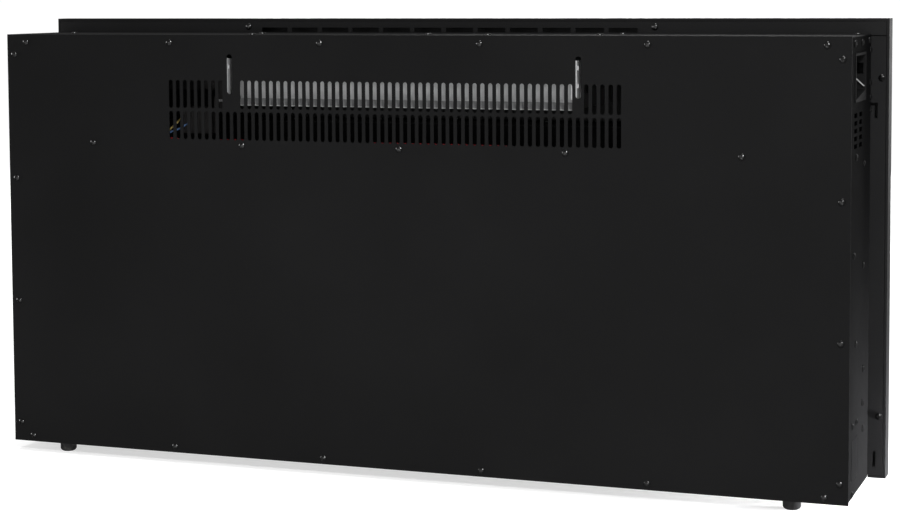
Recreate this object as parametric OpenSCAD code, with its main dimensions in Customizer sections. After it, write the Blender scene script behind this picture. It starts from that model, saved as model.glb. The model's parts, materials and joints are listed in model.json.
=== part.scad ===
// Built-in electric fireplace with a fan heater above the flame window.
// Millimetres, +Z up, front towards -Y, origin at the bottom centre of the whole box.
// Left and right are as seen from the front, so left is -X.

/* [Body] */
// Width of the body that goes into the wall
body_w = 1040; // [1030:1:1050]
// Height of the back panel
body_h = 508; // [500:1:516]
// Depth of the body, from the mounting flange to the rear face
body_d = 131; // [128:1:140]
// Thickness of the folded steel sheet
sheet_t = 1.2; // [1:0.1:1.4]
// How far the back panel hangs below the bottom pan
back_drop = 3.5; // [2:0.5:5]
// How far the body sits to the right of the trim's centre
body_x = 7.4; // [5:0.2:8]

/* [Front trim] */
// Width of the trim
trim_w = 1066; // [1066:1:1080]
// Depth of the trim's folded edge
trim_d = 23; // [21:0.5:26]
// How far the trim rises above the body
trim_rise = 17.5; // [14:0.5:24]
// How far the trim reaches below the bottom pan
trim_drop = 1.2; // [0.6:0.2:4]
// Width of the flame window
window_w = 940; // [900:5:950]
// Height of the flame window
window_h = 330; // [300:5:336]
// Height of the window's lower edge above the surface
window_z = 78; // [72:1:84]

/* [Back vents] */
// Slots in the long row
vent_count = 60; // [60:1:61]
// Distance from slot to slot
vent_pitch = 9.444; // [9.3:0.002:9.6]
// Width of a slot
vent_w = 5.2; // [4:0.1:5.6]
// Length of a slot
vent_len = 33.8; // [30:0.2:34.6]

/* [Heater] */
// Width of the heater casing
heater_w = 418; // [410:1:420]
// Height of the heater casing
heater_h = 55; // [54:0.5:57]
// Outer diameter of the blower wheel
wheel_d = 44; // [38:1:46]
// Blades of the blower wheel
blade_count = 24; // [16:1:28]

/* [Flame effect] */
// Diameter of the flame spindle's shaft
spindle_d = 6; // [5:0.5:8]
// Pairs of flickers along the spindle
flicker_count = 26; // [12:1:30]
// Crystals across the ember tray
crystal_columns = 44; // [20:1:44]

/* [Controls and feet] */
// Push buttons beside the outlet
button_count = 4; // [4:1:4]
// Diameter of a push button
button_d = 10; // [8:0.5:11]
// How far a push button travels
button_travel = 1.2; // [0.8:0.1:1.5]
// Height of a rubber foot
foot_h = 16; // [14:1:18]
// Diameter of a rubber foot
foot_d = 20; // [16:1:24]

/* [Hidden] */
$fn = 48;
gap = 0.3;
running = 0.05;
seat = 0.05;
bite = 0.5;
steel_black = [0.13, 0.13, 0.135];
trim_black = [0.16, 0.16, 0.165];
galvanised = [0.62, 0.63, 0.64];

screw_r = 2;
screw_hole_r = 2.15;
screw_head_r = 4;
screw_head_h = 2.2;
screw_len = 6;

// Planes of the box
front_y = -(body_d + trim_d + screw_head_h) / 2;
flange_y = front_y + trim_d;
rear_y = flange_y + body_d;
inside_y = rear_y - sheet_t;
pan_z = foot_h;
back_z = foot_h - back_drop;
top_z = back_z + body_h;
trim_top = top_z + trim_rise;
trim_bottom = pan_z - trim_drop;
left_x = body_x - body_w / 2;
right_x = body_x + body_w / 2;

// Folded edges
return_w = 16;
corner_gap = 17;
trim_t = 1.5;
hem_t = 3;
hem_d = 12;
flange_out = trim_w / 2 - hem_t - 0.4;
flange_top = trim_top - hem_t - 0.4;
seam_z = top_z - 1.5;
seam_gap = 1;

// Back panel screws, from the body's centre and down from its top
top_row_x = [-493.9, -295.8, -99.1, 99.1, 295.8, 493.9];
mid_row_x = [-401.5, -200.7, 0, 200.7, 401.5];
column_x = [-510.6, 510.6];
column_drop = [24.8, 178.2, 331.6, 485];
top_row_drop = 9.6;
mid_row_drop = 131.7;
bottom_row_up = 7;
rivet_x = [-17.9, 17.9];

// Back vents, from the body's centre and down from its top
vent_x0 = 294.2;
upper_vent_drop = 71;
lower_vent_drop = 108.4;
hang_x = 216;
hang_drop = 46.7;
hang_len = 47.2;
hang_w = 7;
hang_clear = hang_w / 2 + vent_w / 2 + 0.8;

// Left side panel: distance forward from the rear face, and down from the body's top
pocket_y = [24, 89];
pocket_drop = [21.7, 69];
pocket_depth = 46;
pocket_lean = 9;
pocket_rim = 3;
pocket_rim_t = 1;
pocket_y0 = rear_y - pocket_y[1];
pocket_y1 = rear_y - pocket_y[0];
pocket_z0 = top_z - pocket_drop[1];
pocket_z1 = top_z - pocket_drop[0];
pocket_x1 = left_x + pocket_depth;
cable_hole_drop = [31, 43];
clamp_bar_rise = 12;
clamp_bar = [32, 3.2, 1.2];
gland_y = pocket_y0 + 18;
gland_z = pocket_z1 - 20.5;
gland_r = 4.5;
gland_thread_r = 7;
gland_thread_l = 12;
side_vent_y = [28.8, 62.6];
side_vent_drop = 86.3;
side_vent_pitch = 8.35;
side_vent_len = 20;
side_vent_w = 5;
side_screws = [
    [20, 8], [67, 8], [118, 7], [33, 132], [85, 142], [21, 238], [87, 256], [37, 337],
    [89, 373], [87, 411], [47, 425], [20, 425], [91, 441], [19, 500],
    [126.4, 18], [125, 54.5], [126.4, 70.5], [126.4, 85]
];
label_y = [17, 57];
label_drop = [441, 486];

// Top panel screws: from the body's centre, and forward from the rear face
top_screws = [
    [467, 72], [194.7, 20], [205, 70], [-21, 42], [-100, 27], [-230, 39], [-244, 86], [-509, 108]
];

// Flange slots and screws
flange_slot_pitch = 40.8;
flange_slot_w = 34.9;
flange_slot_h = 5.5;
flange_top_screws = [260.1, -262.8];
flange_side_drop = [49.6, 434.6];
hook_x = 518.8;
hook_w = 3.4;
hook_h = 17.4;
hook_drop = 77.4;
low_hook_drop = 475;

// Heater casing: its rear face stands upright, folds inwards and comes back at the bottom
heater_t = 1;
hem_drop = 1.2;
heater_x0 = body_x - heater_w / 2;
heater_x1 = body_x + heater_w / 2;
heater_z1 = top_z - 28;
heater_z0 = heater_z1 - heater_h;
heater_y0 = front_y + 24;
heater_y1 = inside_y - 4;
heater_back = [
    [heater_y1, heater_z1], [heater_y1, heater_z0 + 31],
    [heater_y1 - 11, heater_z0 + 7.5], [heater_y1 - 4, heater_z0]
];
wheel_y = heater_y1 - 35;
wheel_z = heater_z0 + 28;
wheel_r = wheel_d / 2;
wheel_end = 8;
shaft_r = 2.5;
motor_x0 = heater_x1 + 8;
motor_l = 48;
motor_box_depth = [14, 38];
motor_box_drop = [88, 119];
strap_depth = 15;
strap_drop = 79;
outlet_w = 400;
outlet_h = 44;
outlet_z = heater_z0 + 6;
fin_count = 5;
cutout_x = heater_x1 - 42;
cutout_y = heater_y0 + 30;

// Flame effect
screen_y = flange_y + 34;
screen_t = 3;
spindle_y = flange_y + 72;
spindle_z = 72;
spindle_half = 452;
flicker_r = 17;
tray_y0 = front_y + 9;
tray_y1 = screen_y - 2;
tray_z = window_z - 14;
tray_t = 3;
crystal_rows = 2;
light_w = 12;
light_count = 30;

// Window
glass_t = 4;
glass_y = front_y + trim_t + 0.6;
window_top = window_z + window_h;
firebox_x = 482;
firebox_y0 = glass_y + glass_t + gap;
firebox_y1 = screen_y + 12;

// Controls
control_x = 300;
button_pitch = 24;
control_z = outlet_z + outlet_h / 2;
rocker_x = control_x + button_pitch * button_count + 26;
rocker_w = 26;
rocker_h = 14;
rocker_tilt = 8;
rocker_y = front_y + 8;
housing_y0 = front_y + trim_t + 0.1;
housing_x0 = control_x - 16;
housing_x1 = rocker_x - rocker_w / 2 - 8;
switch_y = 11.6;
board_y = 15;
board_t = 1.6;

// Feet, from the body's centre and from the two faces of the body
foot_x = 455;
foot_rear = 19;
foot_front = 22;

// Routes of the three inner wires: x from the body's centre, y forward from the rear
// face, z down from the body's top
yellow_route = [
    [330, 62, 157], [330, 62, 153], [330, 61, 147], [326, 46, 136], [315, 20, 126], [305, 9, 118],
    [298, 7, 113], [292, 10, 106.8], [290.8, 14, 103.8], [290.4, 18, 101.5], [289.6, 20, 101],
    [287.2, 20, 101]
];
blue_route = [
    [336, 62, 157], [336, 62, 153], [336, 61, 147], [329, 42, 137], [316, 16, 129], [306, 8, 121.5],
    [298, 7, 117], [289, 8, 114], [281, 9.5, 109.5], [277, 10.6, 107], [276.4, 12, 106.4],
    [276.4, 13.95, 106.4]
];
red_route = [
    [342, 62, 157], [342, 62, 153], [342, 61, 147], [331, 36, 141], [316, 12, 134], [304, 5, 127],
    [297, 5, 125], [289, 5, 125.3], [279, 7, 129], [262, 8, 132], [246, 7, 130], [234, 6.5, 126.4],
    [218, 6.5, 125.8], [200, 6.5, 125.8], [188, 7, 128.5], [165, 7, 132], [100, 7, 132], [60, 7, 130.5],
    [42, 6.5, 127], [26, 6.5, 125.8], [-40, 6.5, 125.7], [-90, 6.5, 125.8], [-128, 7, 126.2],
    [-142, 10, 130], [-160, 20, 137], [-176, 27, 150], [-185, 29, 175], [-185, 29, 300], [-185, 29, 440],
    [-185, 29, 480.8]
];
wire_r = 1.1;
wire_sides = 8;

// ---- helpers ----

// A drawing in X and Z, as a sheet whose rear face is at y
module xz_sheet(y, t) {
    translate([0, y, 0]) rotate([90, 0, 0]) linear_extrude(t) children();
}

// A drawing in Y and Z, as a sheet from x towards +X
module yz_sheet(x, t) {
    translate([x, 0, 0]) rotate([90, 0, 90]) linear_extrude(t) children();
}

// A drawing in X and Y, as a sheet from z upwards
module xy_sheet(z, t) {
    translate([0, 0, z]) linear_extrude(t) children();
}

// A box between two corners
module block(low, high) {
    translate(low) cube(high - low);
}

// A rectangle between two corners
module area(low, high) {
    translate(low) square(high - low);
}

// A round-ended slot along the drawing's second axis
module upright_slot(width, length) {
    square([width, length - width], center = true);
    for (end = [-1, 1]) {
        translate([0, end * (length - width) / 2]) circle(d = width);
    }
}

// A row of round cylinders along Y, each from y towards the front
module bores_y(places, y, length, r) {
    for (p = places) {
        translate([p[0], y, p[1]]) rotate([90, 0, 0]) cylinder(r = r, h = length);
    }
}

// A pan-head screw with a cross recess, head towards +Z, bearing face at z = 0
module pan_screw(turn) {
    dome = screw_head_h - 0.6;
    dome_r = (screw_head_r * screw_head_r + dome * dome) / (2 * dome);
    difference() {
        union() {
            cylinder(r = screw_head_r, h = 0.6);
            rotate_extrude() intersection() {
                translate([0, screw_head_h - dome_r]) circle(r = dome_r);
                translate([0, 0.6]) square([screw_head_r, dome]);
            }
            translate([0, 0, -screw_len]) cylinder(r = screw_r, h = screw_len);
        }
        for (arm = [0, 90]) {
            rotate([0, 0, turn + arm]) translate([-2.3, -0.5, 0.9]) cube([4.6, 1, 2]);
        }
    }
}

// Points of the back panel's screws, as [x, z]
function back_screw_places() = concat(
    [for (x = top_row_x) [body_x + x, top_z - top_row_drop]],
    [for (x = top_row_x) [body_x + x, back_z + bottom_row_up]],
    [for (x = column_x, drop = column_drop) [body_x + x, top_z - drop]],
    [for (x = mid_row_x) [body_x + x, top_z - mid_row_drop]]
);

// Points of a side panel's screws, as [y, z]
function side_screw_places() = [for (s = side_screws) [rear_y - s[0], top_z - s[1]]];

function top_screw_places() = [for (s = top_screws) [body_x + s[0], rear_y - s[1]]];

function flange_screw_places() = concat(
    [for (x = flange_top_screws) [x, top_z + 7.5]],
    [for (drop = flange_side_drop) [-525, top_z - drop]]
);

// A closed tube along a route, with flat ends
function unit(v) = v / norm(v);
function fine(route, steps) = [
    for (i = [0:len(route) - 2], s = [0:steps - 1])
        let (
            t = s / steps,
            a = route[max(i - 1, 0)],
            b = route[i],
            c = route[i + 1],
            d = route[min(i + 2, len(route) - 1)]
        )
        0.5 * (2 * b + (c - a) * t + (2 * a - 5 * b + 4 * c - d) * t * t + (3 * b - a - 3 * c + d) * t * t * t)
];
function with_end(points, route) = concat(points, [route[len(route) - 1]]);
function heading(p, i) = unit(p[min(i + 1, len(p) - 1)] - p[max(i - 1, 0)]);

module tube(route, r, sides, steps) {
    p = with_end(fine(route, steps), route);
    n = len(p);
    rings = [
        for (i = [0:n - 1])
            let (
                along = heading(p, i),
                across = unit(cross(along, [0.13, 0.29, 1])),
                over = cross(along, across)
            )
            for (k = [0:sides - 1]) p[i] + r * (cos(360 * k / sides) * across + sin(360 * k / sides) * over)
    ];
    walls = [
        for (i = [0:n - 2], k = [0:sides - 1])
            let (j = (k + 1) % sides, a = i * sides)
            each [[a + k, a + sides + k, a + sides + j], [a + k, a + sides + j, a + j]]
    ];
    first = [for (k = [0:sides - 1]) k];
    last = [for (k = [sides - 1:-1:0]) (n - 1) * sides + k];
    polyhedron(points = rings, faces = concat([first], walls, [last]));
}

function placed(route) = [for (p = route) [body_x + p[0], rear_y - p[1], top_z - p[2]]];

// ---- body shell ----

module vent_slots() {
    for (i = [0:vent_count - 1]) {
        x = vent_x0 - i * vent_pitch;
        translate([body_x + x, top_z - lower_vent_drop]) upright_slot(vent_w, vent_len);
        if (abs(abs(x) - hang_x) > hang_clear) {
            translate([body_x + x, top_z - upper_vent_drop]) upright_slot(vent_w, vent_len);
        }
    }
}

module back_panel() {
    color(steel_black) difference() {
        xz_sheet(rear_y, sheet_t) difference() {
            area([left_x, back_z], [right_x, top_z]);
            vent_slots();
            for (side = [-1, 1]) {
                translate([body_x + side * hang_x, top_z - hang_drop]) upright_slot(hang_w, hang_len);
            }
        }
        bores_y(back_screw_places(), rear_y + bite, sheet_t + 2 * bite, screw_hole_r);
        bores_y([for (x = rivet_x) [body_x + x, back_z + bottom_row_up]], rear_y + bite, 1, 1.6);
    }
}

module top_panel() {
    color(steel_black) difference() {
        union() {
            xy_sheet(top_z - sheet_t, sheet_t) area([left_x, flange_y + gap], [right_x, inside_y]);
            block(
                [left_x + corner_gap, inside_y - sheet_t, top_z - return_w],
                [right_x - corner_gap, inside_y, top_z - sheet_t + bite]
            );
        }
        bores_y(back_screw_places(), rear_y + bite, 5, screw_hole_r);
        for (p = top_screw_places()) {
            translate([p[0], p[1], top_z - 3]) cylinder(r = screw_hole_r, h = 4);
        }
    }
}

module bottom_pan() {
    color(steel_black) difference() {
        union() {
            xy_sheet(pan_z, sheet_t) area([left_x + sheet_t, flange_y + gap], [right_x - sheet_t, inside_y]);
            block(
                [left_x + corner_gap, inside_y - sheet_t, pan_z + bite],
                [right_x - corner_gap, inside_y, pan_z + return_w]
            );
        }
        bores_y(back_screw_places(), rear_y + bite, 5, screw_hole_r);
        for (p = foot_places()) {
            translate([p[0], p[1], pan_z - 1]) cylinder(r = 4, h = 4);
        }
    }
}

// One side sheet with its rear return; inward is +1 for the left side
module side_sheet(x, inward) {
    sheet_x = inward > 0 ? x : x - sheet_t;
    edge_x = x + inward * return_w;
    yz_sheet(sheet_x, sheet_t) area([flange_y + gap, pan_z], [inside_y, top_z - sheet_t]);
    block(
        [min(x + inward * bite, edge_x), inside_y - sheet_t, pan_z + corner_gap],
        [max(x + inward * bite, edge_x), inside_y, top_z - corner_gap]
    );
}

module side_vents(x) {
    for (y = side_vent_y, i = [0:4]) {
        z = top_z - side_vent_drop - i * side_vent_pitch;
        block(
            [x - 3, rear_y - y - side_vent_len / 2, z - side_vent_w / 2],
            [x + 3, rear_y - y + side_vent_len / 2, z + side_vent_w / 2]
        );
    }
}

module side_screw_holes(x) {
    for (p = side_screw_places()) {
        translate([x - 3, p[0], p[1]]) rotate([0, 90, 0]) cylinder(r = screw_hole_r, h = 6);
    }
}

module left_side_panel() {
    color(steel_black) difference() {
        side_sheet(left_x, 1);
        yz_sheet(left_x - 1, sheet_t + 2) pocket_outline(sheet_t + seat);
        side_vents(left_x);
        side_screw_holes(left_x);
        bores_y(back_screw_places(), rear_y + bite, 5, screw_hole_r);
    }
}

module right_side_panel() {
    color(steel_black) difference() {
        side_sheet(right_x, -1);
        side_vents(right_x);
        side_screw_holes(right_x);
        bores_y(back_screw_places(), rear_y + bite, 5, screw_hole_r);
    }
}

// The recess in the left side: a tray with a rim on the side panel and a sloping floor
module pocket_outline(grow) {
    polygon([
        [pocket_y0 - grow, pocket_z0 + pocket_lean - grow],
        [pocket_y1 + grow, pocket_z0 - grow],
        [pocket_y1 + grow, pocket_z1 + grow],
        [pocket_y0 - grow, pocket_z1 + grow]
    ]);
}

module wiring_pocket() {
    color(steel_black) difference() {
        union() {
            yz_sheet(left_x - bite, pocket_depth + bite + sheet_t) pocket_outline(sheet_t);
            yz_sheet(left_x - pocket_rim_t, pocket_rim_t - seat) area(
                [pocket_y0 - pocket_rim, pocket_z0 - pocket_rim],
                [pocket_y1 + pocket_rim, pocket_z1 + pocket_rim]
            );
        }
        yz_sheet(left_x - pocket_rim_t - 1, pocket_depth + pocket_rim_t + 1) pocket_outline(0);
        block(
            [left_x + 2, pocket_y0 - 5, top_z - cable_hole_drop[1]],
            [left_x + 24, pocket_y0 + 1, top_z - cable_hole_drop[0]]
        );
        translate([pocket_x1 - 1, gland_y, gland_z]) rotate([0, 90, 0])
            cylinder(r = gland_thread_r + 0.2, h = 6);
    }
}

// A sloping galvanised strip across the tray's front wall, which the cable is tied to
module cable_clamp_bar() {
    color(galvanised) translate([left_x + 1, pocket_y0 + seat, pocket_z0 + clamp_bar_rise])
        rotate([0, -41.5, 0]) cube(clamp_bar);
}

module cable_gland() {
    color("dimgray") translate([pocket_x1 - seat, gland_y, gland_z]) rotate([0, -90, 0]) difference() {
        union() {
            cylinder(r = 9.5, h = 6, $fn = 6);
            translate([0, 0, 6]) cylinder(r = 7.5, h = 6);
            translate([0, 0, -gland_thread_l]) cylinder(r = gland_thread_r, h = gland_thread_l);
        }
        translate([0, 0, -gland_thread_l - 1]) cylinder(r = gland_r, h = 2 * gland_thread_l + 2);
    }
}

module gland_nut() {
    color("dimgray") translate([pocket_x1 + sheet_t + seat, gland_y, gland_z]) rotate([0, 90, 0]) difference() {
        cylinder(r = 11, h = 5, $fn = 6);
        translate([0, 0, -1]) cylinder(r = gland_thread_r + seat, h = 7);
    }
}

function foot_places() = [
    for (x = [-foot_x, foot_x], y = [rear_y - foot_rear, flange_y + foot_front]) [body_x + x, y]
];

module rubber_feet() {
    color([0.06, 0.06, 0.06]) for (p = foot_places()) {
        translate([p[0], p[1], 0]) rotate_extrude() polygon([
            [0, 0], [foot_d / 2 - 3.2, 0], [foot_d / 2 - 1, 1.2], [foot_d / 2, 3.4],
            [foot_d / 2, foot_h - 3], [foot_d / 2 - 1, foot_h], [3.9, foot_h],
            [3.9, foot_h + sheet_t + 0.2], [5.4, foot_h + sheet_t + 0.2], [4.4, foot_h + 4], [0, foot_h + 4]
        ]);
    }
}

module rating_label() {
    color("gray") block(
        [left_x - 0.25, rear_y - label_y[1], top_z - label_drop[1]],
        [left_x - 0.05, rear_y - label_y[0], top_z - label_drop[0]]
    );
}

// ---- mounting flange and trim ----

module top_flange() {
    color(trim_black) difference() {
        xz_sheet(flange_y, sheet_t) difference() {
            area([-flange_out, seam_z], [flange_out, flange_top]);
            for (i = [-5.5:1:5.5]) {
                translate([i * flange_slot_pitch, top_z + 0.8 + flange_slot_h / 2])
                    square([flange_slot_w, flange_slot_h], center = true);
            }
        }
        bores_y(flange_screw_places(), flange_y + bite, 3, screw_hole_r);
    }
}

module hook_slots(side) {
    x = side * hook_x;
    translate([x, top_z - hook_drop - hook_h / 2]) square([hook_w, hook_h], center = true);
    translate([x - side * 4, top_z - hook_drop - hook_w / 2]) square([12, hook_w], center = true);
    translate([x + side, top_z - low_hook_drop - hook_h / 2]) square([hook_w, hook_h], center = true);
}

module side_flange_sheet(side) {
    inner = side < 0 ? left_x + 0.5 : right_x - 0.5;
    area(
        [min(side * flange_out, inner - side * 12), trim_bottom + hem_t + 0.4],
        [max(side * flange_out, inner - side * 12), seam_z - seam_gap]
    );
}

module left_flange() {
    color(trim_black) difference() {
        xz_sheet(flange_y, sheet_t) difference() {
            side_flange_sheet(-1);
            hook_slots(-1);
        }
        bores_y(flange_screw_places(), flange_y + bite, 3, screw_hole_r);
    }
}

module right_flange() {
    color(trim_black) xz_sheet(flange_y, sheet_t) difference() {
        side_flange_sheet(1);
        hook_slots(1);
    }
}

module bottom_flange() {
    color(trim_black) xz_sheet(flange_y, sheet_t)
        area([left_x + 12.8, trim_bottom + hem_t + 0.4], [right_x - 12.8, tray_z - 4]);
}

module trim_ring(grow_in, y_rear, depth) {
    xz_sheet(y_rear, depth) difference() {
        area([-trim_w / 2, trim_bottom], [trim_w / 2, trim_top]);
        area([-trim_w / 2 + grow_in, trim_bottom + grow_in], [trim_w / 2 - grow_in, trim_top - grow_in]);
    }
}

// The trim; its bottom wall stops short at the rear, under the body
module trim_frame() {
    color(trim_black) union() {
        difference() {
            union() {
                trim_ring(trim_t, flange_y, trim_d);
                trim_ring(hem_t, flange_y, hem_d);
            }
            block(
                [left_x - gap, flange_y - hem_d - bite, trim_bottom - bite],
                [right_x + gap, flange_y + bite, trim_bottom + hem_t + bite]
            );
        }
        xz_sheet(front_y + trim_t, trim_t) difference() {
            area([-trim_w / 2, trim_bottom], [trim_w / 2, trim_top]);
            area([-window_w / 2, window_z], [window_w / 2, window_z + window_h]);
            area([-outlet_w / 2, outlet_z], [outlet_w / 2, outlet_z + outlet_h]);
            for (i = [0:button_count - 1]) {
                translate([control_x + i * button_pitch, control_z]) circle(d = button_d + 1.2);
            }
            translate([rocker_x, control_z]) square([rocker_w + 6.4, rocker_h + 6.4], center = true);
        }
    }
}

// Galvanised angles inside the trim, one for each flange screw
module trim_brackets() {
    plate_y = flange_y - sheet_t - 0.1;
    face_y = front_y + trim_t + 0.05;
    color(galvanised) difference() {
        for (p = flange_screw_places()) {
            block([p[0] - 4.4, plate_y - 1.5, p[1] - 9], [p[0] + 9, plate_y, p[1] + 6]);
            block([p[0] + 7.5, face_y, p[1] - 9], [p[0] + 9, plate_y, p[1] + 6]);
            block([p[0] + 7.5, face_y, p[1] - 9], [p[0] + 20, face_y + 1.5, p[1] + 6]);
        }
        bores_y(flange_screw_places(), flange_y + bite, 8, screw_hole_r);
    }
}

module front_glass() {
    color([0.2, 0.22, 0.24, 0.5]) xz_sheet(glass_y + glass_t, glass_t)
        area([-window_w / 2 - 8, window_z - 8], [window_w / 2 + 8, window_z + window_h + 8]);
}

module glass_seal() {
    color("black") xz_sheet(glass_y + glass_t, glass_t) difference() {
        area([-window_w / 2 - 11, window_z - 11], [window_w / 2 + 11, window_z + window_h + 11]);
        area([-window_w / 2 - 8.05, window_z - 8.05], [window_w / 2 + 8.05, window_z + window_h + 8.05]);
    }
}

module outlet_grille() {
    step = outlet_h / (fin_count + 1);
    color(steel_black) union() {
        xz_sheet(front_y + trim_t + 4.2, 4) difference() {
            area([-outlet_w / 2 - 6, outlet_z - 6], [outlet_w / 2 + 6, outlet_z + outlet_h + 5]);
            area([-outlet_w / 2 + 2, outlet_z + 2], [outlet_w / 2 - 2, outlet_z + outlet_h - 2]);
        }
        for (i = [1:fin_count]) {
            translate([-outlet_w / 2 + 1, front_y + trim_t + 1, outlet_z + i * step]) rotate([-28, 0, 0])
                cube([outlet_w - 2, 11, 1.2]);
        }
        for (x = [-outlet_w / 6, outlet_w / 6]) {
            block([x - 1, front_y + trim_t + 3, outlet_z], [x + 1, front_y + trim_t + 9, outlet_z + outlet_h]);
        }
    }
}

// ---- fan heater ----

module heater_casing() {
    color(galvanised) union() {
        block([heater_x0, heater_y0, heater_z1 - heater_t], [heater_x1, heater_y1, heater_z1]);
        yz_sheet(heater_x0, heater_w) polygon(concat(heater_back, [
            [heater_y1 - 1, heater_z0], [heater_y1 - 1, heater_z0 - hem_drop],
            [heater_y1 - 4 - heater_t, heater_z0 - hem_drop], [heater_y1 - 11 - heater_t, heater_z0 + 7.5],
            [heater_y1 - heater_t, heater_z0 + 30.6], [heater_y1 - heater_t, heater_z1]
        ]));
    }
}

module heater_duct_floor() {
    color(galvanised) yz_sheet(heater_x0, heater_w) polygon([
        [heater_y0, heater_z0], [wheel_y - wheel_r - 4, heater_z0], [wheel_y - wheel_r - 1, heater_z0 + 14],
        [wheel_y - wheel_r - 2.2, heater_z0 + 14.4], [wheel_y - wheel_r - 5, heater_z0 + heater_t],
        [heater_y0, heater_z0 + heater_t]
    ]);
}

// The casing's two ends; a strap from one of them holds the motor
module heater_end_plates() {
    strap_y = rear_y - strap_depth;
    strap_z = top_z - strap_drop;
    strap_x = motor_x0 + 22;
    color(galvanised) union() {
        for (x = [heater_x0 - heater_t - 0.1, heater_x1 + 0.1]) {
            yz_sheet(x, heater_t) difference() {
                polygon(concat([[heater_y0, heater_z0], [heater_y0, heater_z1]], heater_back));
                translate([wheel_y, wheel_z]) circle(r = 6);
            }
        }
        block([heater_x1 + 0.4, strap_y - 1, strap_z - 1.4], [strap_x, strap_y, strap_z + 1.4]);
        block([strap_x - 1.2, wheel_y + 20 + seat, strap_z - 1.4], [strap_x, strap_y, strap_z + 1.4]);
    }
}

module heating_element() {
    y0 = heater_y0 + 20;
    fin_pitch = 5.6;
    fins = floor((heater_w - 52) / fin_pitch);
    color("silver") union() {
        for (z = [heater_z0 + 10, heater_z0 + 27, heater_z0 + 44]) {
            block([heater_x0 + 22, y0, z], [heater_x1 - 22, y0 + 12, z + 3]);
        }
        for (i = [0:fins]) {
            x = heater_x0 + 25 + i * fin_pitch;
            block([x, y0 + 1, heater_z0 + 9], [x + 0.6, y0 + 11, heater_z0 + 48]);
        }
    }
}

module element_frame() {
    y0 = heater_y0 + 18;
    color("ivory") union() {
        for (x = [heater_x0 + 8, heater_x1 - 21]) {
            block([x, y0, heater_z0 + heater_t + 0.2], [x + 13, y0 + 16, heater_z1 - heater_t - 0.2]);
        }
    }
}

module blower_wheel() {
    x0 = heater_x0 + wheel_end;
    length = heater_w - 2 * wheel_end;
    discs = 6;
    color([0.2, 0.2, 0.2]) difference() {
        union() {
            for (i = [0:blade_count - 1]) {
                translate([x0, wheel_y, wheel_z]) rotate([i * 360 / blade_count, 0, 0])
                    translate([0, -0.5, wheel_r - 8]) rotate([28, 0, 0]) cube([length, 0.9, 7]);
            }
            for (i = [0:discs - 1]) {
                inner = i == 0 || i == discs - 1 ? 0.5 : wheel_r - 9;
                x = x0 + i * (length - 1.5) / (discs - 1);
                translate([x, wheel_y, wheel_z]) rotate([0, 90, 0]) difference() {
                    cylinder(r = wheel_r, h = 1.5);
                    translate([0, 0, -1]) cylinder(r = inner, h = 4);
                }
            }
            for (x = [x0, x0 + length - 10]) {
                translate([x, wheel_y, wheel_z]) rotate([0, 90, 0]) cylinder(r = 6, h = 10);
            }
        }
        for (x = [x0 - 1, x0 + length - 11]) {
            translate([x, wheel_y, wheel_z]) rotate([0, 90, 0]) cylinder(r = shaft_r + 0.02, h = 12);
        }
    }
}

module blower_shaft() {
    left = [heater_x0 - 12, heater_x0 + wheel_end + 9];
    right = [heater_x1 - wheel_end - 9, motor_x0 + motor_l + 6];
    color("silver") for (span = [left, right]) {
        translate([span[0], wheel_y, wheel_z]) rotate([0, 90, 0]) cylinder(r = shaft_r, h = span[1] - span[0]);
    }
}

module blower_motor() {
    color([0.25, 0.25, 0.27]) difference() {
        union() {
            block([motor_x0 + 10, wheel_y - 20, wheel_z - 21], [motor_x0 + 28, wheel_y + 20, wheel_z + 25]);
            translate([motor_x0, wheel_y, wheel_z]) rotate([0, 90, 0]) cylinder(r = 13, h = motor_l);
            block([motor_x0 + 5, wheel_y - 14, wheel_z - 38], [motor_x0 + 33, wheel_y + 14, wheel_z - 20]);
            block(
                [motor_x0 + 30, rear_y - motor_box_depth[1], top_z - motor_box_drop[1]],
                [motor_x0 + 70, rear_y - motor_box_depth[0], top_z - motor_box_drop[0]]
            );
            block([motor_x0 + 2, wheel_y - 4, wheel_z + 14], [motor_x0 + 5, wheel_y + 4, wheel_z + 26]);
            block([motor_x0 + 2, wheel_y - 4, wheel_z + 23], [motor_x0 + 14, wheel_y + 4, wheel_z + 26]);
        }
        translate([motor_x0 - 1, wheel_y, wheel_z]) rotate([0, 90, 0])
            cylinder(r = shaft_r + running, h = motor_l + 2);
    }
}

module blower_bearing() {
    color([0.1, 0.1, 0.1]) translate([heater_x0 - heater_t - 0.2, wheel_y, wheel_z]) rotate([0, -90, 0])
        difference() {
            union() {
                cylinder(r = 11, h = 5);
                translate([0, 0, -heater_t - 1.5]) cylinder(r = 5.8, h = 4);
            }
            translate([0, 0, -4]) cylinder(r = shaft_r + running, h = 12);
        }
}

module thermal_cutout() {
    color([0.15, 0.15, 0.15]) translate([cutout_x, cutout_y, heater_z1 + 0.1]) difference() {
        union() {
            block([-12, -5, 0], [12, 5, 1]);
            cylinder(r = 8, h = 7);
            block([-15, -3, 4], [15, 3, 5]);
        }
        translate([0, 0, 3]) cylinder(r = 2.3, h = 6);
    }
}

module reset_button() {
    color("red") translate([cutout_x, cutout_y, heater_z1 + 0.1 + 4.3]) cylinder(r = 1.9, h = 5);
}

// Galvanised angles beside the hanging slots, with small tabs that show in the slots
module hanging_brackets() {
    face_y = inside_y - 0.2;
    color(galvanised) for (side = [-1, 1]) {
        show = side < 0 ? 1.6 : 0.6;
        x = body_x + side * hang_x + hang_w / 2 - show;
        z = top_z - hang_drop;
        block([x, face_y - 16, z - 25], [x + 1.2, face_y, z + 19]);
        block([x, face_y - 1.2, z - 25], [x + 7, face_y, z + 19]);
        for (tab = side < 0 ? [-12, 8] : [6]) {
            block([x - 1.6, face_y - 2.6, z + tab], [x + bite, face_y - 1, z + tab + 5]);
        }
    }
}

// ---- flame effect ----

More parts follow.
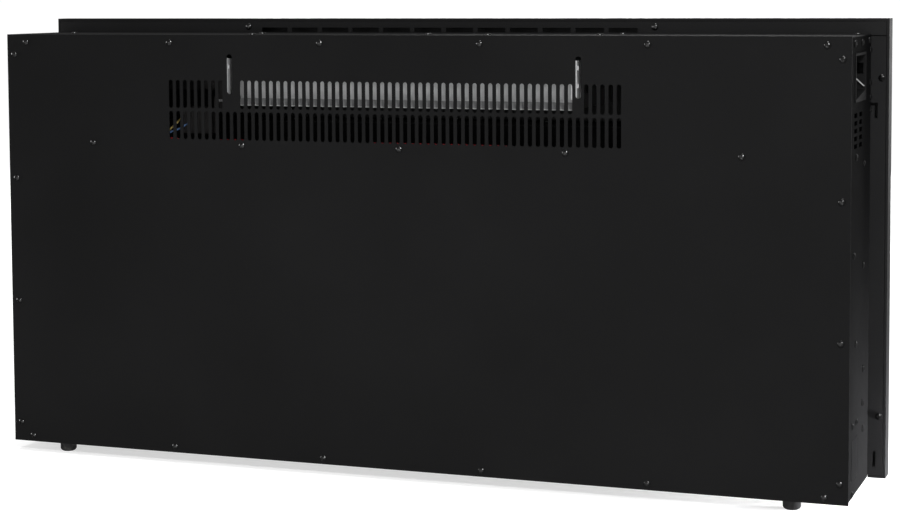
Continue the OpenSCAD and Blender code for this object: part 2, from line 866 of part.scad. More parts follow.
module flame_screen() {
    color([0.85, 0.85, 0.88, 0.6])
        block([-478, screen_y, window_z - 6], [478, screen_y + screen_t, window_top + 4]);
}

module ember_tray() {
    color([0.3, 0.3, 0.32]) union() {
        block([-474, tray_y0, tray_z], [474, tray_y1, tray_z + tray_t]);
        block([-474, tray_y0, tray_z], [474, tray_y0 + 2, tray_z + 9]);
        block([-474, tray_y1 - 2, tray_z], [474, tray_y1, tray_z + 14]);
    }
}

// Cut crystals on the tray, each turned its own way
module ember_crystals() {
    pitch_x = 920 / crystal_columns;
    pitch_y = (tray_y1 - tray_y0 - 10) / crystal_rows;
    color([0.8, 0.9, 1, 0.6]) for (i = [0:crystal_columns - 1], j = [0:crystal_rows - 1]) {
        turn = (i * 47 + j * 83) % 90;
        lean = 18 + (i * 31 + j * 57) % 30;
        size = 8 + (i * 13 + j * 7) % 4;
        translate([
            -460 + (i + 0.5) * pitch_x, tray_y0 + 5 + (j + 0.5) * pitch_y, tray_z + tray_t + size * 0.78 + 0.3
        ]) rotate([lean, 20, turn]) cube([size, size * 0.8, size], center = true);
    }
}

module light_strip(y, z) {
    block([-440, y - light_w / 2, z], [440, y + light_w / 2, z + 1.6]);
    for (i = [0:light_count - 1]) {
        x = -425 + i * 850 / (light_count - 1);
        block([x - 1.8, y - 1.4, z + 1], [x + 1.8, y + 1.4, z + 2.9]);
    }
}

module ember_light_strip() {
    color("white") light_strip((tray_y0 + tray_y1) / 2, tray_z - 20);
}

module flame_light_strip() {
    color("white") light_strip(spindle_y + 30, spindle_z - 34);
}

module spindle_shaft() {
    color("silver") translate([-spindle_half, spindle_y, spindle_z]) rotate([0, 90, 0])
        cylinder(d = spindle_d, h = 2 * spindle_half);
}

module spindle_flickers() {
    span = 2 * spindle_half - 80;
    color("silver") difference() {
        for (i = [0:flicker_count - 1]) {
            x = -span / 2 + (i + 0.5) * span / flicker_count;
            translate([x, spindle_y, spindle_z]) rotate([i * 37, 0, 0]) union() {
                translate([-4, 0, 0]) rotate([0, 90, 0]) cylinder(r = spindle_d / 2 + 2, h = 8);
                rotate([0, 0, 24]) cube([22, 0.6, 2 * flicker_r], center = true);
            }
        }
        translate([-spindle_half - 1, spindle_y, spindle_z]) rotate([0, 90, 0])
            cylinder(r = spindle_d / 2 + 0.02, h = 2 * spindle_half + 2);
    }
}

module spindle_motor() {
    color([0.6, 0.6, 0.62]) translate([spindle_half - 12, spindle_y, spindle_z]) rotate([0, 90, 0])
        difference() {
            union() {
                cylinder(r = 25, h = 20);
                block([-4, -31, 18], [4, 31, 19]);
            }
            translate([0, 0, -1]) cylinder(r = spindle_d / 2 + running, h = 14);
        }
}

module spindle_bearing() {
    x = -spindle_half + 4;
    color([0.9, 0.9, 0.88]) difference() {
        union() {
            translate([x, spindle_y, spindle_z]) rotate([0, 90, 0]) cylinder(r = 9, h = 8);
            block([x, spindle_y - 12, pan_z + sheet_t + 0.1], [x + 8, spindle_y + 12, spindle_z - 2]);
        }
        translate([x - 4, spindle_y, spindle_z]) rotate([0, 90, 0])
            cylinder(r = spindle_d / 2 + running, h = 20);
    }
}

// Dark sheets that close the space between the glass and the flame screen
module firebox_top() {
    color("black") block([-firebox_x, firebox_y0, window_top + 4.4], [firebox_x, firebox_y1, window_top + 5.4]);
}

module firebox_left_wall() {
    color("black") block([-firebox_x, firebox_y0, tray_z], [-firebox_x + 1, firebox_y1, window_top + 4.1]);
}

module firebox_right_wall() {
    color("black") block([firebox_x - 1, firebox_y0, tray_z], [firebox_x, firebox_y1, window_top + 4.1]);
}

// ---- controls ----

module control_housing() {
    color([0.1, 0.1, 0.1]) difference() {
        block([housing_x0, housing_y0, control_z - 17], [housing_x1, housing_y0 + 22, control_z + 17]);
        block(
            [housing_x0 + 2, housing_y0 + 2, control_z - 15],
            [housing_x1 - 2, housing_y0 + 20, control_z + 15]
        );
        bores_y(button_places(), housing_y0 + 4, 6, button_d / 2 + 0.6);
    }
}

module control_board() {
    color("darkgreen") union() {
        block(
            [housing_x0 + 3, housing_y0 + board_y, control_z - 14],
            [housing_x1 - 3, housing_y0 + board_y + board_t, control_z + 14]
        );
        for (p = button_places()) {
            block(
                [p[0] - 3, housing_y0 + switch_y, p[1] - 3],
                [p[0] + 3, housing_y0 + board_y + bite, p[1] + 3]
            );
        }
        block(
            [housing_x0 + 6, housing_y0 + board_y + 1, control_z - 8],
            [housing_x0 + 22, housing_y0 + 19, control_z + 8]
        );
    }
}

function button_places() = [for (i = [0:button_count - 1]) [control_x + i * button_pitch, control_z]];

// A round button with a flange that keeps it in the housing
module push_button(i) {
    head_l = trim_t + 2.5;
    stem_end = housing_y0 + switch_y - gap - button_travel - front_y;
    color([0.25, 0.25, 0.25]) translate([control_x + i * button_pitch, front_y, control_z])
        rotate([-90, 0, 0]) union() {
            cylinder(d = button_d, h = head_l + 2);
            translate([0, 0, head_l]) cylinder(d = button_d + 3, h = 2);
            translate([0, 0, head_l]) cylinder(r = 1.5, h = stem_end - head_l);
        }
}

module power_button() {
    push_button(0);
}

module flame_button() {
    push_button(1);
}

module heat_button() {
    push_button(2);
}

module timer_button() {
    push_button(3);
}

module rocker_bezel() {
    color([0.08, 0.08, 0.08]) difference() {
        block(
            [rocker_x - rocker_w / 2 - 3, front_y, control_z - rocker_h / 2 - 3],
            [rocker_x + rocker_w / 2 + 3, front_y + 20, control_z + rocker_h / 2 + 3]
        );
        block(
            [rocker_x - rocker_w / 2 - 0.5, front_y - 1, control_z - rocker_h / 2 - 0.5],
            [rocker_x + rocker_w / 2 + 0.5, front_y + 17, control_z + rocker_h / 2 + 0.5]
        );
        translate([rocker_x, rocker_y, control_z - rocker_h / 2 - 2])
            cylinder(r = 1.5 + running, h = rocker_h + 4);
    }
}

// The rocker turns about an upright pin; its face is two flats that meet above the pin
module power_rocker() {
    half = rocker_w / 2;
    color([0.2, 0.2, 0.2]) translate([rocker_x, rocker_y, control_z]) rotate([0, 0, -rocker_tilt]) union() {
        translate([0, 0, -rocker_h / 2]) linear_extrude(rocker_h) polygon([
            [-half + 0.6, -4.6], [0, -3], [half - 0.6, -4.6], [half - 0.6, -2.6],
            [4, 5], [-4, 5], [-half + 0.6, -2.6]
        ]);
        translate([0, 0, -rocker_h / 2 - 1.8]) cylinder(r = 1.5, h = rocker_h + 3.6);
    }
}

module terminal_block() {
    color("ivory") translate([body_x + 326, rear_y - 74, top_z - 168]) difference() {
        cube([26, 18, 16]);
        for (x = [4, 10, 16, 22]) {
            translate([x, 12, 10]) cylinder(r = 1.9, h = 7);
        }
    }
}

module yellow_wire() {
    color("gold") tube(placed(yellow_route), wire_r, wire_sides, 3);
}

module blue_wire() {
    color("deepskyblue") tube(placed(blue_route), wire_r, wire_sides, 3);
}

module red_wire() {
    color("crimson") tube(placed(red_route), wire_r, wire_sides, 3);
}

// ---- fasteners ----

module back_screws() {
    color([0.1, 0.1, 0.1]) for (i = [0:len(back_screw_places()) - 1]) {
        p = back_screw_places()[i];
        translate([p[0], rear_y, p[1]]) rotate([-90, 0, 0]) pan_screw(i * 37);
    }
}

module side_screws() {
    color([0.1, 0.1, 0.1]) for (i = [0:len(side_screws) - 1]) {
        p = side_screw_places()[i];
        translate([left_x, p[0], p[1]]) rotate([0, -90, 0]) pan_screw(i * 37);
        translate([right_x, p[0], p[1]]) rotate([0, 90, 0]) pan_screw(i * 53);
    }
}

module panel_top_screws() {
    color([0.1, 0.1, 0.1]) for (i = [0:len(top_screws) - 1]) {
        p = top_screw_places()[i];
        translate([p[0], p[1], top_z]) pan_screw(i * 41);
    }
}

module flange_screws() {
    color([0.1, 0.1, 0.1]) for (i = [0:len(flange_screw_places()) - 1]) {
        p = flange_screw_places()[i];
        translate([p[0], flange_y, p[1]]) rotate([-90, 0, 0]) pan_screw(i * 29);
    }
}

back_panel();
top_panel();
bottom_pan();
left_side_panel();
right_side_panel();
wiring_pocket();
cable_clamp_bar();
cable_gland();
gland_nut();
top_flange();
bottom_flange();
left_flange();
right_flange();
trim_frame();
trim_brackets();
front_glass();
glass_seal();
outlet_grille();
rubber_feet();
rating_label();
heater_casing();
heater_duct_floor();
heater_end_plates();
heating_element();
element_frame();
blower_wheel();
blower_shaft();
blower_motor();
blower_bearing();
thermal_cutout();
reset_button();
hanging_brackets();
flame_screen();
ember_tray();
ember_crystals();
ember_light_strip();
spindle_shaft();
spindle_flickers();
spindle_motor();
spindle_bearing();
flame_light_strip();
firebox_top();
firebox_left_wall();
firebox_right_wall();
control_housing();
control_board();
power_button();
flame_button();
heat_button();
timer_button();
rocker_bezel();
power_rocker();
terminal_block();
yellow_wire();
blue_wire();
red_wire();
back_screws();
side_screws();
panel_top_screws();
flange_screws();
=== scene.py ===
"""Looks of the built-in electric fireplace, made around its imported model."""
import json
import math

import bmesh
import bpy
from mathutils import Matrix, Vector


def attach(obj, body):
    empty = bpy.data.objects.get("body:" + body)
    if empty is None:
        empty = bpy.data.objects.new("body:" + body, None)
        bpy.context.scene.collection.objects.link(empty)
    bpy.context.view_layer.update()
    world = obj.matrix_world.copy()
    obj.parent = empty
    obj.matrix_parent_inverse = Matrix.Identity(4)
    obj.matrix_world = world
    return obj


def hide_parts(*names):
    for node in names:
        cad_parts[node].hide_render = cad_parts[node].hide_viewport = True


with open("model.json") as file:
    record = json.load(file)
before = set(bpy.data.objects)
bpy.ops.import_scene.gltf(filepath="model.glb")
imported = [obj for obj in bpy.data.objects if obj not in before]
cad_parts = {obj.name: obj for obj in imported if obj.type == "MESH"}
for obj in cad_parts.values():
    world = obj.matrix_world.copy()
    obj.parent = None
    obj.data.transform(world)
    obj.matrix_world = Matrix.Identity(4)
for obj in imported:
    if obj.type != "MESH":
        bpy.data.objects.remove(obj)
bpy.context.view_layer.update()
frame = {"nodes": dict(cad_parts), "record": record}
NODES = frame["nodes"]
ROOT = "body"

# Camera: place in metres, angles in degrees, lens and sensor in millimetres
CAMERA_PLACE = (-0.8703, 2.2938, 0.5708)
CAMERA_YAW = 20.168
CAMERA_PITCH = -4.085
CAMERA_ROLL = -0.304
CAMERA_LENS = 82.775
CAMERA_SENSOR = 36
CAMERA_RISE = -2 / 15
CAMERA_REACH = (0.05, 5000)

# Floor, surround and overhead light
FLOOR_HALF = 3000
FLOOR_GLOW = 0.58
SURROUND_STRENGTH = 0.16
OVERHEAD_POWER = 1.9
OVERHEAD_SPREAD = 20

# Area lights: name, place, target, size in metres, power in watts, seen in mirror reflections
AREA_LIGHTS = (
    ("key", (-1.7, 2.5, 2.2), (0, 0, 0.3), (0.5, 0.5), 82, True),
    ("slot_fill", (-0.9, 2.7, 0.7), (0.1, 0, 0.4), (0.6, 0.6), 10, True),
    ("floor_bounce", (0.1, 0.8, 0.01), (0.1, 0, 0.45), (1.4, 0.5), 1.6, True),
    ("side_glow", (-0.71, -0.04, 0.02), (-0.51, -0.04, 0.03), (0.03, 0.03), 9, False),
    ("low_glow", (1.1, 2.7, 0.4), (0, 0, 0.35), (1.8, 0.7), 6, True),
    ("front_soft", (0.8, -4.0, 0.62), (0, 0, 0.3), (2.6, 0.7), 115, True),
    ("rim_side", (-1.7, -4.2, 0.55), (-0.5, 0, 0.3), (2.4, 1.0), 11, True),
    ("rim_top", (0, -4, 1.6), (0, 0, 0.4), (3, 0.5), 7, True),
    ("side_soft", (3.4, 0.4, 0.9), (0, 0, 0.25), (1.6, 0.9), 26, True),
)

# Edge rounds: width in metres, segments, and the CAD nodes that get them
EDGE_ROUNDS = (
    (0.0009, 2, (
        "back_panel", "top_panel", "bottom_pan", "left_side_panel", "right_side_panel",
        "trim_frame",
    )),
    (0.00025, 2, (
        "top_flange", "left_flange", "right_flange", "bottom_flange", "wiring_pocket",
        "cable_clamp_bar", "heater_casing", "heater_end_plates", "hanging_brackets",
        "outlet_grille", "rocker_bezel", "power_button", "flame_button", "heat_button",
        "timer_button", "power_rocker", "cable_gland", "gland_nut", "blower_motor",
        "ember_tray", "terminal_block",
    )),
    (0.00012, 2, ("back_screws", "side_screws", "panel_top_screws", "flange_screws")),
    (0.0014, 1, ("ember_crystals",)),
    (0.0006, 2, ("rubber_feet",)),
)
SHARP_ANGLE = 35
FLAT_ANGLE = 1.5
MERGE_DISTANCE = 1e-6
NORMAL_WEIGHT = 80


# ---- small helpers for materials ----

class Look:
    """One procedural material: a Principled shader and the nodes that feed it."""

    def __init__(self, name, color, rough, metallic=0.0, **sockets):
        self.mat = bpy.data.materials.new(name)
        self.mat.use_nodes = True
        self.nodes = self.mat.node_tree.nodes
        self.links = self.mat.node_tree.links
        self.shader = self.nodes["Principled BSDF"]
        self.coords = self.nodes.new("ShaderNodeTexCoord").outputs["Object"]
        self.set("Base Color", (*color, 1))
        self.set("Roughness", rough)
        self.set("Metallic", metallic)
        for socket, value in sockets.items():
            self.set(socket.replace("_", " "), value)

    def set(self, socket, value):
        self.shader.inputs[socket].default_value = value

    def link(self, out, socket):
        self.links.new(out, self.shader.inputs[socket])

    def place(self, node, stretch):
        """Feed a texture the piece's own coordinates, stretched along the axes if asked."""
        coords = self.coords
        if stretch:
            mapping = self.nodes.new("ShaderNodeMapping")
            mapping.inputs["Scale"].default_value = stretch
            self.links.new(coords, mapping.inputs["Vector"])
            coords = mapping.outputs["Vector"]
        self.links.new(coords, node.inputs["Vector"])

    def noise(self, scale, detail, rough=0.5, stretch=None, distortion=0.0):
        node = self.nodes.new("ShaderNodeTexNoise")
        node.inputs["Scale"].default_value = scale
        node.inputs["Detail"].default_value = detail
        node.inputs["Roughness"].default_value = rough
        node.inputs["Distortion"].default_value = distortion
        self.place(node, stretch)
        return node.outputs["Fac"]

    def cells(self, scale, feature="F1", stretch=None, output="Distance"):
        node = self.nodes.new("ShaderNodeTexVoronoi")
        node.feature = feature
        node.inputs["Scale"].default_value = scale
        self.place(node, stretch)
        return node.outputs[output]

    def cell_tones(self, scale):
        """Three separate random tones for each cell: Red, Green and Blue."""
        cells = self.cells(scale, output="Color")
        node = self.nodes.new("ShaderNodeSeparateColor")
        self.links.new(cells, node.inputs["Color"])
        return node.outputs

    def ramp(self, fac, low, high, bottom=0.0, top=1.0):
        """Bring fac from low..high to bottom..top, and clamp it there."""
        node = self.nodes.new("ShaderNodeMapRange")
        node.inputs["From Min"].default_value = low
        node.inputs["From Max"].default_value = high
        node.inputs["To Min"].default_value = bottom
        node.inputs["To Max"].default_value = top
        self.links.new(fac, node.inputs["Value"])
        return node.outputs["Result"]

    def blend(self, fac, a, b):
        """Colour a where fac is 0, colour b where it is 1."""
        node = self.nodes.new("ShaderNodeMix")
        node.data_type = "RGBA"
        for socket, value in (("A", a), ("B", b)):
            target = [i for i in node.inputs if i.name == socket and i.type == "RGBA"][0]
            if isinstance(value, tuple):
                target.default_value = (*value, 1)
            else:
                self.links.new(value, target)
        self.links.new(fac, node.inputs["Factor"])
        return [o for o in node.outputs if o.type == "RGBA"][0]

    def math(self, kind, a, b):
        node = self.nodes.new("ShaderNodeMath")
        node.operation = kind
        for i, value in enumerate((a, b)):
            if isinstance(value, (int, float)):
                node.inputs[i].default_value = value
            else:
                self.links.new(value, node.inputs[i])
        return node.outputs[0]

    def relief(self, height, strength, depth):
        """Bump of the surface from a height texture; depth in metres."""
        node = self.nodes.new("ShaderNodeBump")
        node.inputs["Strength"].default_value = strength
        node.inputs["Distance"].default_value = depth
        self.links.new(height, node.inputs["Height"])
        self.link(node.outputs["Normal"], "Normal")

    def upward(self):
        """How far the face looks up: 1 for a level face, 0 for an upright one."""
        facing = self.nodes.new("ShaderNodeSeparateXYZ")
        geometry = self.nodes.new("ShaderNodeNewGeometry")
        self.links.new(geometry.outputs["Normal"], facing.inputs["Vector"])
        return facing.outputs["Z"]

    def worn_edges(self, low, high):
        """Where the surface is convex: 1 on sharp edges, 0 elsewhere."""
        pointiness = self.nodes.new("ShaderNodeNewGeometry").outputs["Pointiness"]
        return self.ramp(pointiness, low, high)


def shade(color, factor):
    return tuple(c * factor for c in color)


# ---- materials ----

def powder_coat(name, color, rough, level):
    """Black powder coat: fine orange peel and faint handling marks."""
    patch = 1.25
    look = Look(name, color, rough, Specular_IOR_Level=level)
    cloud = look.noise(3.1, 3, 0.55)
    smudge = look.noise(17, 4, 0.62, distortion=0.6)
    base = look.blend(look.ramp(cloud, 0.3, 0.72), shade(color, 1 / patch), shade(color, patch))
    look.link(base, "Base Color")
    marks = look.ramp(smudge, 0.35, 0.7, -0.045, 0.05)
    uneven = look.math("ADD", marks, look.ramp(cloud, 0.3, 0.7, -0.02, 0.02))
    look.link(look.math("ADD", uneven, rough), "Roughness")
    look.relief(look.noise(620, 2), strength=0.35, depth=0.00018)
    return look.mat


def galvanised_sheet(name, tone_scale):
    """Zinc-coated sheet: soft spangle, rolling streaks, bloom, and painted shade, darker where it
    faces up.
    """
    zinc = ((0.68, 0.685, 0.69), (0.6, 0.605, 0.61), (0.53, 0.535, 0.54))
    light, mid, dark = (shade(color, tone_scale) for color in zinc)
    look = Look(name, mid, 0.42, 0.4)
    tone = look.cell_tones(95)
    bloom = look.noise(26, 4, 0.6, distortion=0.8)
    streak = look.noise(60, 3, 0.6, stretch=(0.35, 1.0, 4.0))
    base = look.blend(tone["Red"], mid, light)
    bloomed = look.blend(look.ramp(bloom, 0.5, 0.8, 0, 0.4), base, dark)
    # Painted shade: faces that look up are blended towards a deep grey, standing for the shade they
    # sit in
    dust_and_painted_shade = look.ramp(look.upward(), 0.2, 0.65, 0, 0.6)
    look.link(look.blend(dust_and_painted_shade, bloomed, shade(dark, 0.35)), "Base Color")
    rough = look.ramp(tone["Green"], 0, 1, 0.38, 0.47)
    look.link(look.math("ADD", rough, look.ramp(streak, 0.3, 0.7, -0.03, 0.04)), "Roughness")
    look.relief(look.math("ADD", streak, tone["Blue"]), strength=0.05, depth=0.0001)
    return look.mat


def turned_metal(name, color, rough, along=(1, 40, 40)):
    """Ground or drawn steel with fine lines along one way."""
    look = Look(name, color, rough, 1.0)
    lines = look.noise(300, 3, 0.6, stretch=along)
    look.link(look.blend(lines, shade(color, 0.8), shade(color, 1.15)), "Base Color")
    look.link(look.ramp(lines, 0.2, 0.8, rough - 0.08, rough + 0.12), "Roughness")
    look.relief(lines, strength=0.15, depth=0.00008)
    return look.mat


def moulded(name, color, rough, grain=0.2, grain_scale=900, level=0.45):
    """Moulded plastic or painted metal with a spark-eroded grain and faint flow marks."""
    look = Look(name, color, rough, Specular_IOR_Level=level)
    flow = look.noise(40, 3, 0.6, distortion=1.2)
    base = look.blend(look.ramp(flow, 0.3, 0.7), shade(color, 0.86), shade(color, 1.14))
    look.link(base, "Base Color")
    look.link(look.ramp(flow, 0.25, 0.75, rough - 0.05, rough + 0.06), "Roughness")
    look.relief(look.noise(grain_scale, 2), strength=grain, depth=0.00012)
    return look.mat


def rubber(name, color=(0.012, 0.012, 0.0125)):
    """Moulded rubber: dull, with paler dusty patches."""
    look = Look(name, color, 0.68, Specular_IOR_Level=0.35)
    dust_and_painted_shade = look.noise(120, 4, 0.65)
    look.link(look.blend(look.ramp(dust_and_painted_shade, 0.52, 0.75), color, (0.05, 0.048, 0.045)), "Base Color")
    look.link(look.ramp(dust_and_painted_shade, 0.3, 0.7, 0.6, 0.8), "Roughness")
    look.relief(look.noise(1500, 2, 0.6), strength=0.3, depth=0.0001)
    return look.mat


def black_zinc(name):
    """Blackened screw heads, a little paler on their rubbed edges."""
    black = (0.0015, 0.0015, 0.0016)
    look = Look(name, black, 0.16, Specular_IOR_Level=0.65)
    edges = look.worn_edges(0.56, 0.66)
    rub = look.math("MULTIPLY", edges, look.ramp(look.noise(700, 2), 0.5, 0.75))
    look.link(look.blend(rub, black, (0.03, 0.03, 0.031)), "Base Color")
    look.link(look.ramp(look.noise(500, 3, 0.6), 0.3, 0.7, 0.12, 0.19), "Roughness")
    look.relief(look.noise(900, 2), strength=0.15, depth=0.00006)
    return look.mat


def tinted_glass(name):
    """The window: grey glass with a trace of haze."""
    look = Look(
        name, (0.5, 0.52, 0.53), 0.0, Transmission_Weight=1.0, IOR=1.45, Specular_IOR_Level=0.25
    )
    haze = look.noise(7, 4, 0.6, distortion=0.5)
    look.link(look.ramp(haze, 0.4, 0.8, 0.0, 0.012), "Roughness")
    tint = look.blend(look.ramp(haze, 0.3, 0.7), (0.47, 0.49, 0.5), (0.53, 0.545, 0.555))
    look.link(tint, "Base Color")
    return look.mat


def crystal_glass(name):
    """The ember bed's crystals: cloudy, partly clear."""
    look = Look(name, (0.9, 0.95, 0.98), 0.04, Transmission_Weight=0.45, IOR=1.52)
    cloud = look.noise(130, 4, 0.6)
    base = look.blend(look.ramp(cloud, 0.35, 0.75), (0.93, 0.97, 0.99), (0.72, 0.83, 0.9))
    look.link(base, "Base Color")
    look.link(look.ramp(cloud, 0.4, 0.8, 0.02, 0.16), "Roughness")
    look.relief(look.noise(260, 3), strength=0.15, depth=0.0004)
    return look.mat


def milky_screen(name):
    """The flame screen: smoked, finely etched acrylic."""
    look = Look(name, (0.003, 0.003, 0.0033), 0.6, Specular_IOR_Level=0.05)
    etch = look.noise(900, 2)
    cloud = look.ramp(look.noise(9, 3, 0.55), 0.3, 0.7)
    look.link(look.blend(cloud, (0.0025, 0.0025, 0.0027), (0.0038, 0.0038, 0.0041)), "Base Color")
    look.link(look.ramp(etch, 0.3, 0.7, 0.55, 0.66), "Roughness")
    return look.mat


def foil(name):
    """The spindle's flickers: creased mirror film."""
    look = Look(name, (0.82, 0.82, 0.84), 0.1, 1.0)
    crease = look.cells(140, feature="DISTANCE_TO_EDGE")
    look.link(look.ramp(crease, 0.0, 0.25, 0.22, 0.06), "Roughness")
    look.relief(look.noise(90, 3, 0.6), strength=0.5, depth=0.0008)
    base = look.blend(look.ramp(crease, 0.0, 0.1), (0.66, 0.66, 0.69), (0.86, 0.86, 0.88))
    look.link(base, "Base Color")
    return look.mat


def circuit_board(name):
    """Green solder mask over raised tracks."""
    look = Look(name, (0.01, 0.085, 0.03), 0.35, Specular_IOR_Level=0.5)
    edges = look.cells(260, feature="DISTANCE_TO_EDGE", stretch=(1, 0.2, 1))
    tracks = look.ramp(edges, 0.06, 0.1)
    look.link(look.blend(tracks, (0.02, 0.13, 0.05), (0.008, 0.07, 0.025)), "Base Color")
    look.relief(tracks, strength=0.3, depth=0.00006)
    look.link(look.ramp(look.noise(200, 3, 0.6), 0.3, 0.7, 0.28, 0.44), "Roughness")
    return look.mat


def insulation(name, color):
    """PVC wire insulation, slightly waxy and scuffed."""
    look = Look(name, color, 0.36, Specular_IOR_Level=0.5)
    scuff = look.noise(350, 4, 0.6)
    look.link(look.blend(look.ramp(scuff, 0.5, 0.8), color, shade(color, 0.55)), "Base Color")
    look.link(look.ramp(scuff, 0.3, 0.8, 0.3, 0.55), "Roughness")
    return look.mat


def mica_board(name):
    """The heating element's frame: flaked mica."""
    look = Look(name, (0.55, 0.46, 0.31), 0.5, Specular_IOR_Level=0.6)
    tone = look.cell_tones(240)
    look.link(look.blend(tone["Red"], (0.42, 0.34, 0.22), (0.66, 0.57, 0.42)), "Base Color")
    look.link(look.ramp(tone["Green"], 0, 1, 0.3, 0.7), "Roughness")
    look.relief(tone["Blue"], strength=0.2, depth=0.0001)
    return look.mat


def floor_paper():
    """Pale seamless paper that glows a little, as a lit studio sweep does."""
    look = Look(
        "floor_paper", (0.6, 0.6, 0.6), 0.95, Specular_IOR_Level=0.05, Emission_Strength=FLOOR_GLOW
    )
    look.link(look.blend(look.noise(2, 2), (0.59, 0.59, 0.59), (0.61, 0.61, 0.61)), "Base Color")
    look.set("Emission Color", (1, 1, 1, 1))
    return look.mat


LOOKS = {
    "panel_black": powder_coat("panel_black", (0.0048, 0.0048, 0.005), 0.52, 0.1),
    # The side panels' coat is darker than the back panel's: painted shade on the sides
    "side_black": powder_coat("side_black", (0.0027, 0.0027, 0.0028), 0.7, 0.02),
    # The wiring pocket's copy of the powder coat is paler than its slot's: painted light
    "pocket_painted_light_black": powder_coat("pocket_painted_light_black", (0.0075, 0.0075, 0.0077), 0.6, 0.06),
    "trim_black": powder_coat("trim_black", (0.0065, 0.0065, 0.0068), 0.45, 0.16),
    "firebox_black": powder_coat("firebox_black", (0.006, 0.006, 0.006), 0.7, 0.2),
    "galvanised": galvanised_sheet("galvanised", 0.75),
    # galvanised_dull is the same zinc sheet at a third of its tone: painted shade
    "galvanised_dull": galvanised_sheet("galvanised_dull", 0.25),
    # The hanging brackets' copy of the zinc sheet is darker: painted shade
    "galvanised_painted_shade_strip": galvanised_sheet("galvanised_painted_shade_strip", 0.6),
    "screw_black": black_zinc("screw_black"),
    "foot_rubber": rubber("foot_rubber"),
    "seal_rubber": rubber("seal_rubber", (0.014, 0.014, 0.014)),
    "label_film": moulded(
        "label_film", (0.0022, 0.0022, 0.0023), 0.5, grain=0.05, grain_scale=500, level=0.06
    ),
    "gland_plastic": moulded("gland_plastic", (0.02, 0.02, 0.021), 0.42),
    "tinted_glass": tinted_glass("tinted_glass"),
    "element_aluminium": turned_metal(
        "element_aluminium", (0.72, 0.72, 0.73), 0.32, along=(40, 1, 40)
    ),
    "element_mica": mica_board("element_mica"),
    "blower_plastic": moulded("blower_plastic", (0.022, 0.022, 0.024), 0.5),
    "shaft_steel": turned_metal("shaft_steel", (0.58, 0.58, 0.59), 0.22),
    "motor_steel": moulded(
        "motor_steel", (0.016, 0.015, 0.015), 0.7, grain=0.3, grain_scale=300, level=0.1
    ),
    "bearing_rubber": rubber("bearing_rubber", (0.018, 0.018, 0.018)),
    "cutout_plastic": moulded("cutout_plastic", (0.035, 0.03, 0.026), 0.4),
    "reset_red": moulded("reset_red", (0.5, 0.018, 0.016), 0.28, grain=0.05),
    "screen_acrylic": milky_screen("screen_acrylic"),
    "tray_smoke": moulded(
        "tray_smoke", (0.014, 0.014, 0.015), 0.2, grain=0.08, grain_scale=300, level=0.5
    ),
    "crystal": crystal_glass("crystal"),
    "light_board": moulded("light_board", (0.72, 0.72, 0.69), 0.35, grain=0.1),
    "flicker_foil": foil("flicker_foil"),
    "spindle_motor_steel": turned_metal(
        "spindle_motor_steel", (0.5, 0.5, 0.5), 0.3, along=(40, 1, 40)
    ),
    "bearing_nylon": moulded("bearing_nylon", (0.7, 0.69, 0.64), 0.4),
    "control_plastic": moulded("control_plastic", (0.03, 0.03, 0.031), 0.42),
    "board_green": circuit_board("board_green"),
    "button_plastic": moulded("button_plastic", (0.04, 0.04, 0.042), 0.35),
    "rocker_plastic": moulded("rocker_plastic", (0.02, 0.02, 0.02), 0.2, grain=0.08),
    "terminal_ivory": moulded("terminal_ivory", (0.62, 0.59, 0.5), 0.38),
    # The wire colours are darker than bright insulation: painted shade for the dim inside of the
    # body
    "wire_yellow": insulation("wire_yellow", (0.19, 0.14, 0.04)),
    "wire_blue": insulation("wire_blue", (0.05, 0.1, 0.21)),
    "wire_red": insulation("wire_red", (0.15, 0.004, 0.007)),
}
SLOT_OF = {row["node"]: row["material_slot"] for row in frame["record"]["subparts"]}
# Two nodes have a look of their own within their slot: a darker copy of the zinc sheet on the
# hanging brackets (painted shade) and a paler copy of the powder coat on the wiring pocket (painted
# light)
LOOK_OF = {**SLOT_OF, "hanging_brackets": "galvanised_painted_shade_strip", "wiring_pocket": "pocket_painted_light_black"}


def dress_cad():
    """Every CAD node gets its material."""
    for name, node in NODES.items():
        material = LOOKS[LOOK_OF[name]]
        if not node.material_slots:
            node.data.materials.append(material)
        for slot in node.material_slots:
            slot.material = material


# ---- pieces that follow the CAD's shape, with rolled or moulded edges ----

def body_of(node):
    for body, members in frame["record"]["behaviour"]["bodies"].items():
        if node in members:
            return body
    return ROOT


def adopt(piece, node):
    """A finished piece stands for a CAD node."""
    piece.data.materials.clear()
    piece.data.materials.append(LOOKS[LOOK_OF[node]])
    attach(piece, body_of(node))
    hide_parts(node)


def clean_copy(node):
    """The CAD node's mesh, with its flat triangles joined into whole faces."""
    mesh = NODES[node].data.copy()
    mesh.name = node + "_look"
    work = bmesh.new()
    work.from_mesh(mesh)
    bmesh.ops.remove_doubles(work, verts=work.verts, dist=MERGE_DISTANCE)
    bmesh.ops.dissolve_limit(
        work, angle_limit=math.radians(FLAT_ANGLE), use_dissolve_boundaries=False,
        verts=work.verts, edges=work.edges,
    )
    work.to_mesh(mesh)
    work.free()
    piece = bpy.data.objects.new(node + "_look", mesh)
    bpy.context.scene.collection.objects.link(piece)
    return piece


def soft_edges(node, width, segments):
    """A copy of a CAD node with a small round on its sharp edges stands for it."""
    piece = clean_copy(node)
    bevel = piece.modifiers.new("edge_round", "BEVEL")
    bevel.width = width
    bevel.segments = segments
    bevel.limit_method = "ANGLE"
    bevel.angle_limit = math.radians(SHARP_ANGLE)
    bevel.use_clamp_overlap = True
    for face in piece.data.polygons:
        face.use_smooth = True
    normals = piece.modifiers.new("even_normals", "WEIGHTED_NORMAL")
    normals.keep_sharp = True
    normals.weight = NORMAL_WEIGHT
    adopt(piece, node)


# ---- stage, lights, camera ----

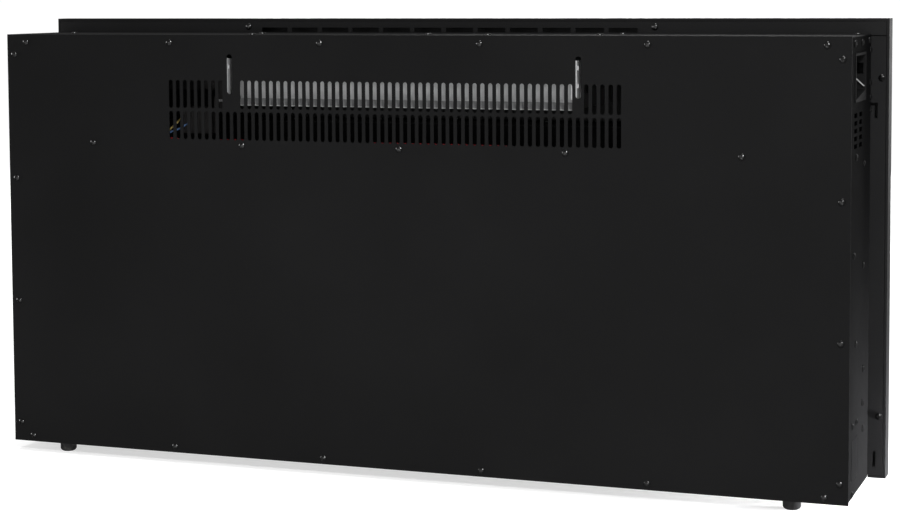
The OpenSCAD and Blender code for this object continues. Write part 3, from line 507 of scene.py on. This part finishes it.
def area_light(name, place, target, size, power, mirrored):
    """A rectangular light at place, aimed at target."""
    data = bpy.data.lights.new(name, "AREA")
    data.shape = "RECTANGLE"
    data.size, data.size_y = size
    data.energy = power
    lamp = bpy.data.objects.new(name, data)
    lamp.location = place
    aim = Vector(target) - Vector(place)
    lamp.rotation_euler = aim.to_track_quat("-Z", "Y").to_euler()
    lamp.visible_camera = False
    lamp.visible_glossy = mirrored
    bpy.context.scene.collection.objects.link(lamp)


def floor_sheet():
    """The floor, which mirror reflections don't show: the photograph's gloss is dark."""
    mesh = bpy.data.meshes.new("floor")
    corners = [(x * FLOOR_HALF, y * FLOOR_HALF, 0) for x, y in ((-1, -1), (1, -1), (1, 1), (-1, 1))]
    mesh.from_pydata(corners, [], [(0, 1, 2, 3)])
    floor = bpy.data.objects.new("floor", mesh)
    bpy.context.scene.collection.objects.link(floor)
    mesh.materials.append(floor_paper())
    floor.visible_glossy = False


def studio():
    """The floor, an even surround, a soft overhead light and the area lights."""
    floor_sheet()
    world = bpy.data.worlds.new("studio")
    bpy.context.scene.world = world
    world.use_nodes = True
    background = world.node_tree.nodes["Background"]
    background.inputs["Color"].default_value = (1, 1, 1, 1)
    background.inputs["Strength"].default_value = SURROUND_STRENGTH

    data = bpy.data.lights.new("overhead", "SUN")
    data.energy = OVERHEAD_POWER
    data.angle = math.radians(OVERHEAD_SPREAD)
    lamp = bpy.data.objects.new("overhead", data)
    bpy.context.scene.collection.objects.link(lamp)
    for row in AREA_LIGHTS:
        area_light(*row)
    bpy.context.scene.view_settings.view_transform = "Standard"


def camera():
    """The photograph's viewpoint, from its place, its three angles and its lens."""
    data = bpy.data.cameras.new("camera")
    data.sensor_width = CAMERA_SENSOR
    data.lens = CAMERA_LENS
    data.shift_y = CAMERA_RISE
    data.clip_start, data.clip_end = CAMERA_REACH
    eye = bpy.data.objects.new("camera", data)
    yaw, pitch, roll = (math.radians(v) for v in (CAMERA_YAW, CAMERA_PITCH, CAMERA_ROLL))
    level = math.cos(pitch)
    forward = Vector((math.sin(yaw) * level, -math.cos(yaw) * level, math.sin(pitch)))
    right = Vector((-math.cos(yaw), -math.sin(yaw), 0))
    up = right.cross(forward)
    side = right * math.cos(roll) + up * math.sin(roll)
    top = up * math.cos(roll) - right * math.sin(roll)
    turn = Matrix((side, top, -forward)).transposed().to_4x4()
    eye.matrix_world = Matrix.Translation(CAMERA_PLACE) @ turn
    bpy.context.scene.collection.objects.link(eye)
    bpy.context.scene.camera = eye


camera()
studio()
dress_cad()
for edge_width, edge_segments, rounded in EDGE_ROUNDS:
    for member in rounded:
        soft_edges(member, edge_width, edge_segments)
